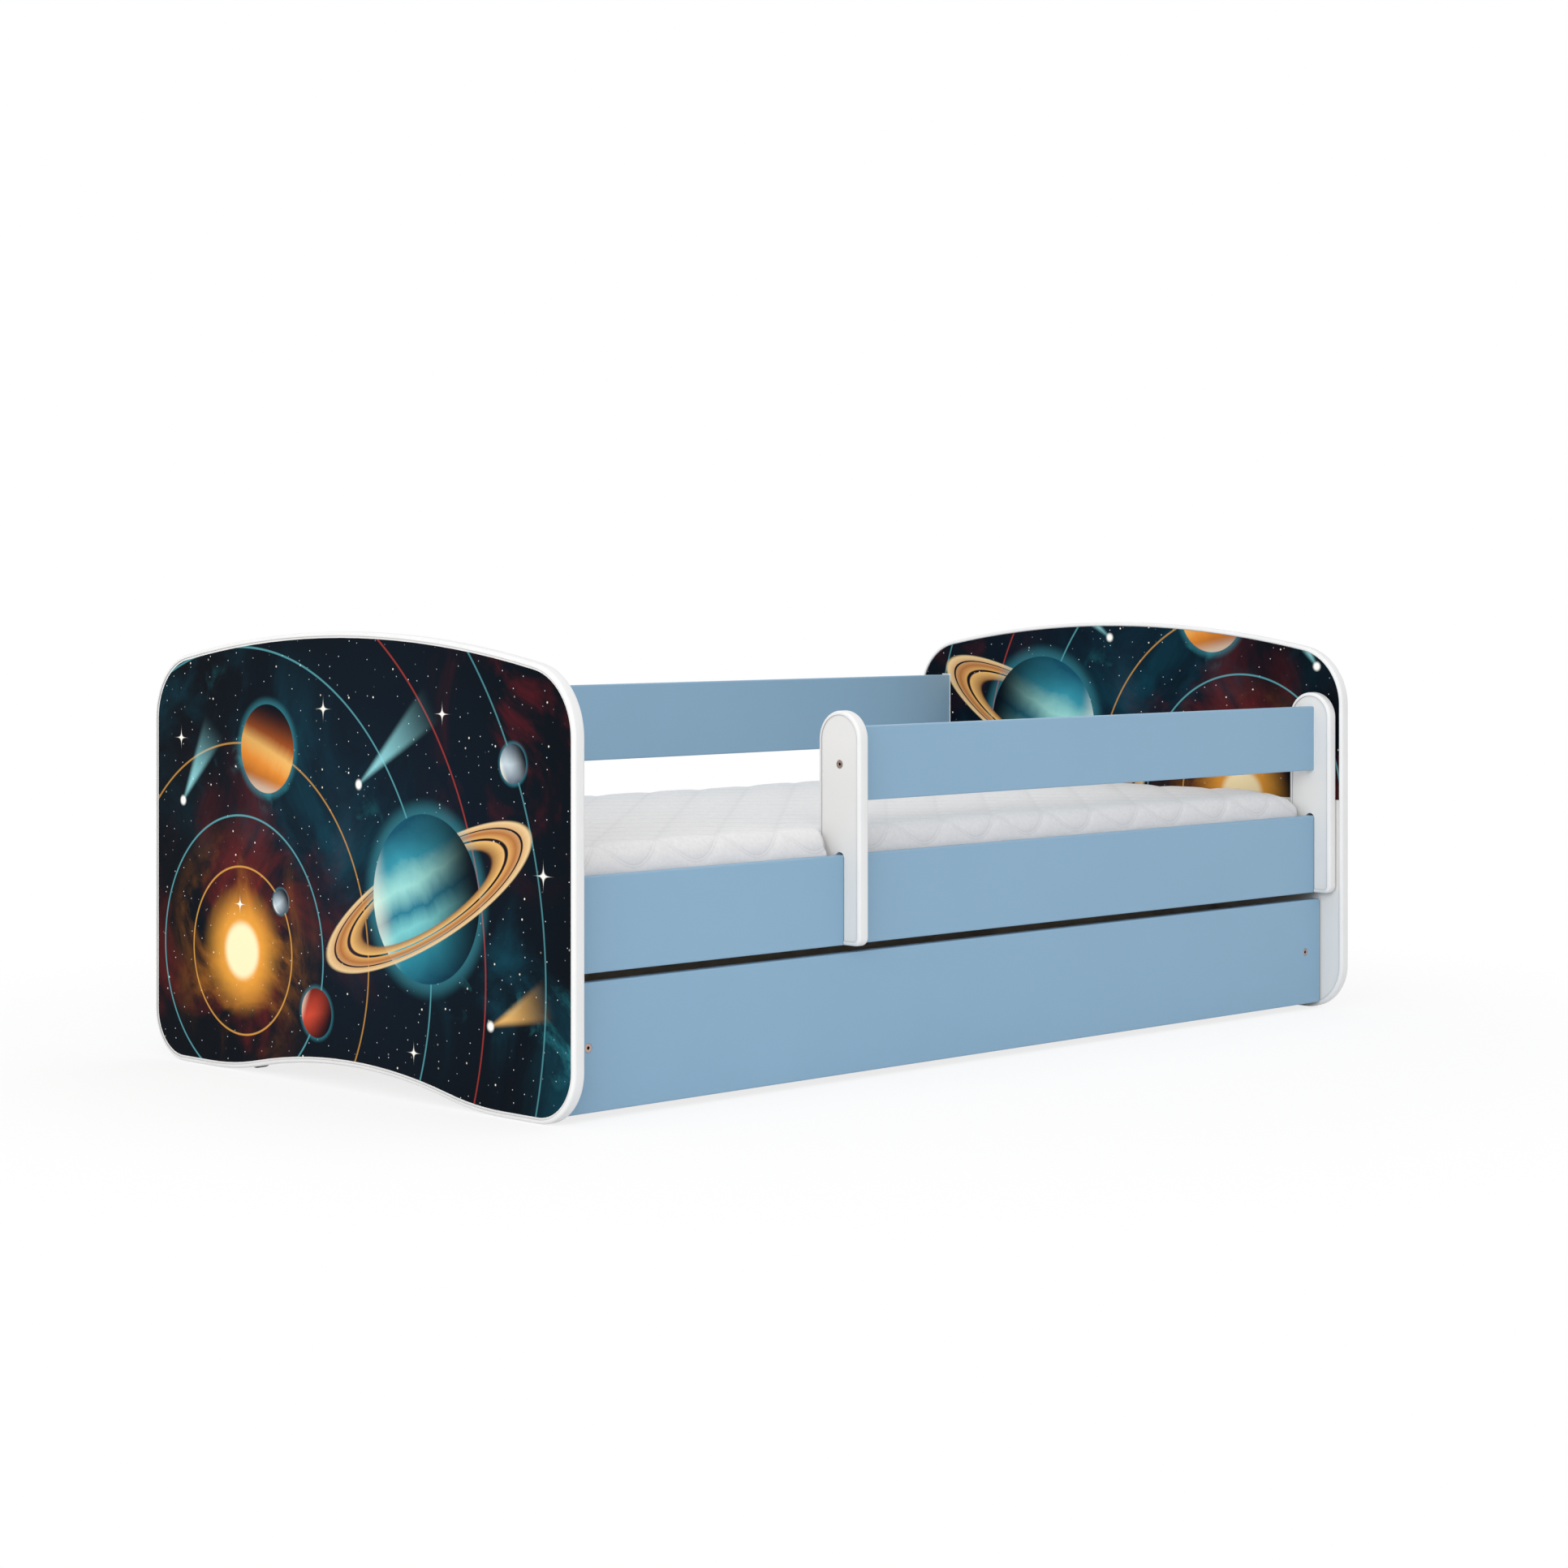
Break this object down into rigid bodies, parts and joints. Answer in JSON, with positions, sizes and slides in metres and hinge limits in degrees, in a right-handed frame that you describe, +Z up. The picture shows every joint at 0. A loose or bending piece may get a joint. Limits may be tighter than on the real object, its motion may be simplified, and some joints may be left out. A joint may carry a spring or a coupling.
{
  "type": "kids bed",
  "caption": "Low child's bed with arched end boards, slatted base, quilted mattress, lift-off guard rail and a drawer that rolls out on its own wheels.",
  "frame": {"origin": "on the floor, under the middle of the bed", "axes": "+X along the bed from the foot board to the head board, -Y towards the drawer and the guard, +Z up"},
  "size_m": [1.64, 0.933, 0.621],
  "materials": {
    "white_board": "satin",
    "blue_board": "satin",
    "white_edging": "matte",
    "dark_print": "satin",
    "softwood": "matte",
    "dowel_beech": "matte",
    "hardboard": "satin",
    "woven_tape": "matte",
    "fastener_steel": "satin",
    "fitting_zinc": "satin",
    "bracket_steel": "satin",
    "wheel_plastic": "matte",
    "mattress_cover": "matte"
  },
  "bodies": {
    "frame": {"footboard_panel": "white_board", "footboard_edging": "white_edging", "footboard_print": "dark_print", "headboard_panel": "white_board", "headboard_edging": "white_edging", "headboard_print": "dark_print", "side_panel_front": "blue_board", "side_panel_back": "blue_board", "back_rail": "blue_board", "cam_bolts": "fastener_steel", "cam_discs": "fitting_zinc", "frame_dowels": "dowel_beech", "slat_batten_front": "softwood", "slat_batten_back": "softwood", "batten_screws": "fastener_steel", "slat_01": "softwood", "slat_02": "softwood", "slat_03": "softwood", "slat_04": "softwood", "slat_05": "softwood", "slat_06": "softwood", "slat_07": "softwood", "slat_08": "softwood", "slat_09": "softwood", "slat_10": "softwood", "slat_11": "softwood", "slat_12": "softwood", "slat_tape_front": "woven_tape", "slat_tape_back": "woven_tape"},
    "drawer": {"drawer_front": "blue_board", "drawer_side_left": "white_board", "drawer_side_right": "white_board", "drawer_back": "white_board", "drawer_bottom": "hardboard", "drawer_bottom_brace": "white_board", "drawer_screws": "fastener_steel", "drawer_dowels": "dowel_beech", "wheel_axles": "bracket_steel", "bracket_screws": "fastener_steel", "wheel_bracket_front_left": "bracket_steel", "wheel_bracket_front_right": "bracket_steel", "wheel_bracket_back_left": "bracket_steel", "wheel_bracket_back_right": "bracket_steel"},
    "wheel_front_left": {"wheel_front_left": "wheel_plastic"},
    "wheel_front_right": {"wheel_front_right": "wheel_plastic"},
    "wheel_back_left": {"wheel_back_left": "wheel_plastic"},
    "wheel_back_right": {"wheel_back_right": "wheel_plastic"},
    "guard": {"guard_post_left": "white_board", "guard_post_left_edging": "white_edging", "guard_post_right": "white_board", "guard_post_right_edging": "white_edging", "guard_rail": "blue_board", "guard_screws": "fastener_steel", "guard_dowels": "dowel_beech"},
    "mattress": {"mattress": "mattress_cover"}
  },
  "joints": [
    {"name": "drawer_roll", "type": "slide", "parent": "frame", "child": "drawer", "axis": [0, -1, 0], "range_m": [0, 0.8]},
    {"name": "wheel_front_left_turn", "type": "hinge", "parent": "drawer", "child": "wheel_front_left", "pos_m": [-0.78, -0.338, 0.0203], "axis": [1, 0, 0], "range_deg": [0, 2300]},
    {"name": "wheel_front_right_turn", "type": "hinge", "parent": "drawer", "child": "wheel_front_right", "pos_m": [0.78, -0.338, 0.0203], "axis": [1, 0, 0], "range_deg": [0, 2300]},
    {"name": "wheel_back_left_turn", "type": "hinge", "parent": "drawer", "child": "wheel_back_left", "pos_m": [-0.78, 0.262, 0.0203], "axis": [1, 0, 0], "range_deg": [0, 2300]},
    {"name": "wheel_back_right_turn", "type": "hinge", "parent": "drawer", "child": "wheel_back_right", "pos_m": [0.78, 0.262, 0.0203], "axis": [1, 0, 0], "range_deg": [0, 2300]},
    {"name": "guard_lift", "type": "slide", "parent": "frame", "child": "guard", "axis": [0, 0, 1], "range_m": [0, 0.15]},
    {"name": "mattress_lift", "type": "slide", "parent": "frame", "child": "mattress", "axis": [0, 0, 1], "range_m": [0, 0.3]}
  ],
  "couplings": [
    {"joint": "wheel_front_left_turn", "follows": "drawer_roll", "rad_per_m": 50},
    {"joint": "wheel_front_right_turn", "follows": "drawer_roll", "rad_per_m": 50},
    {"joint": "wheel_back_left_turn", "follows": "drawer_roll", "rad_per_m": 50},
    {"joint": "wheel_back_right_turn", "follows": "drawer_roll", "rad_per_m": 50}
  ]
}
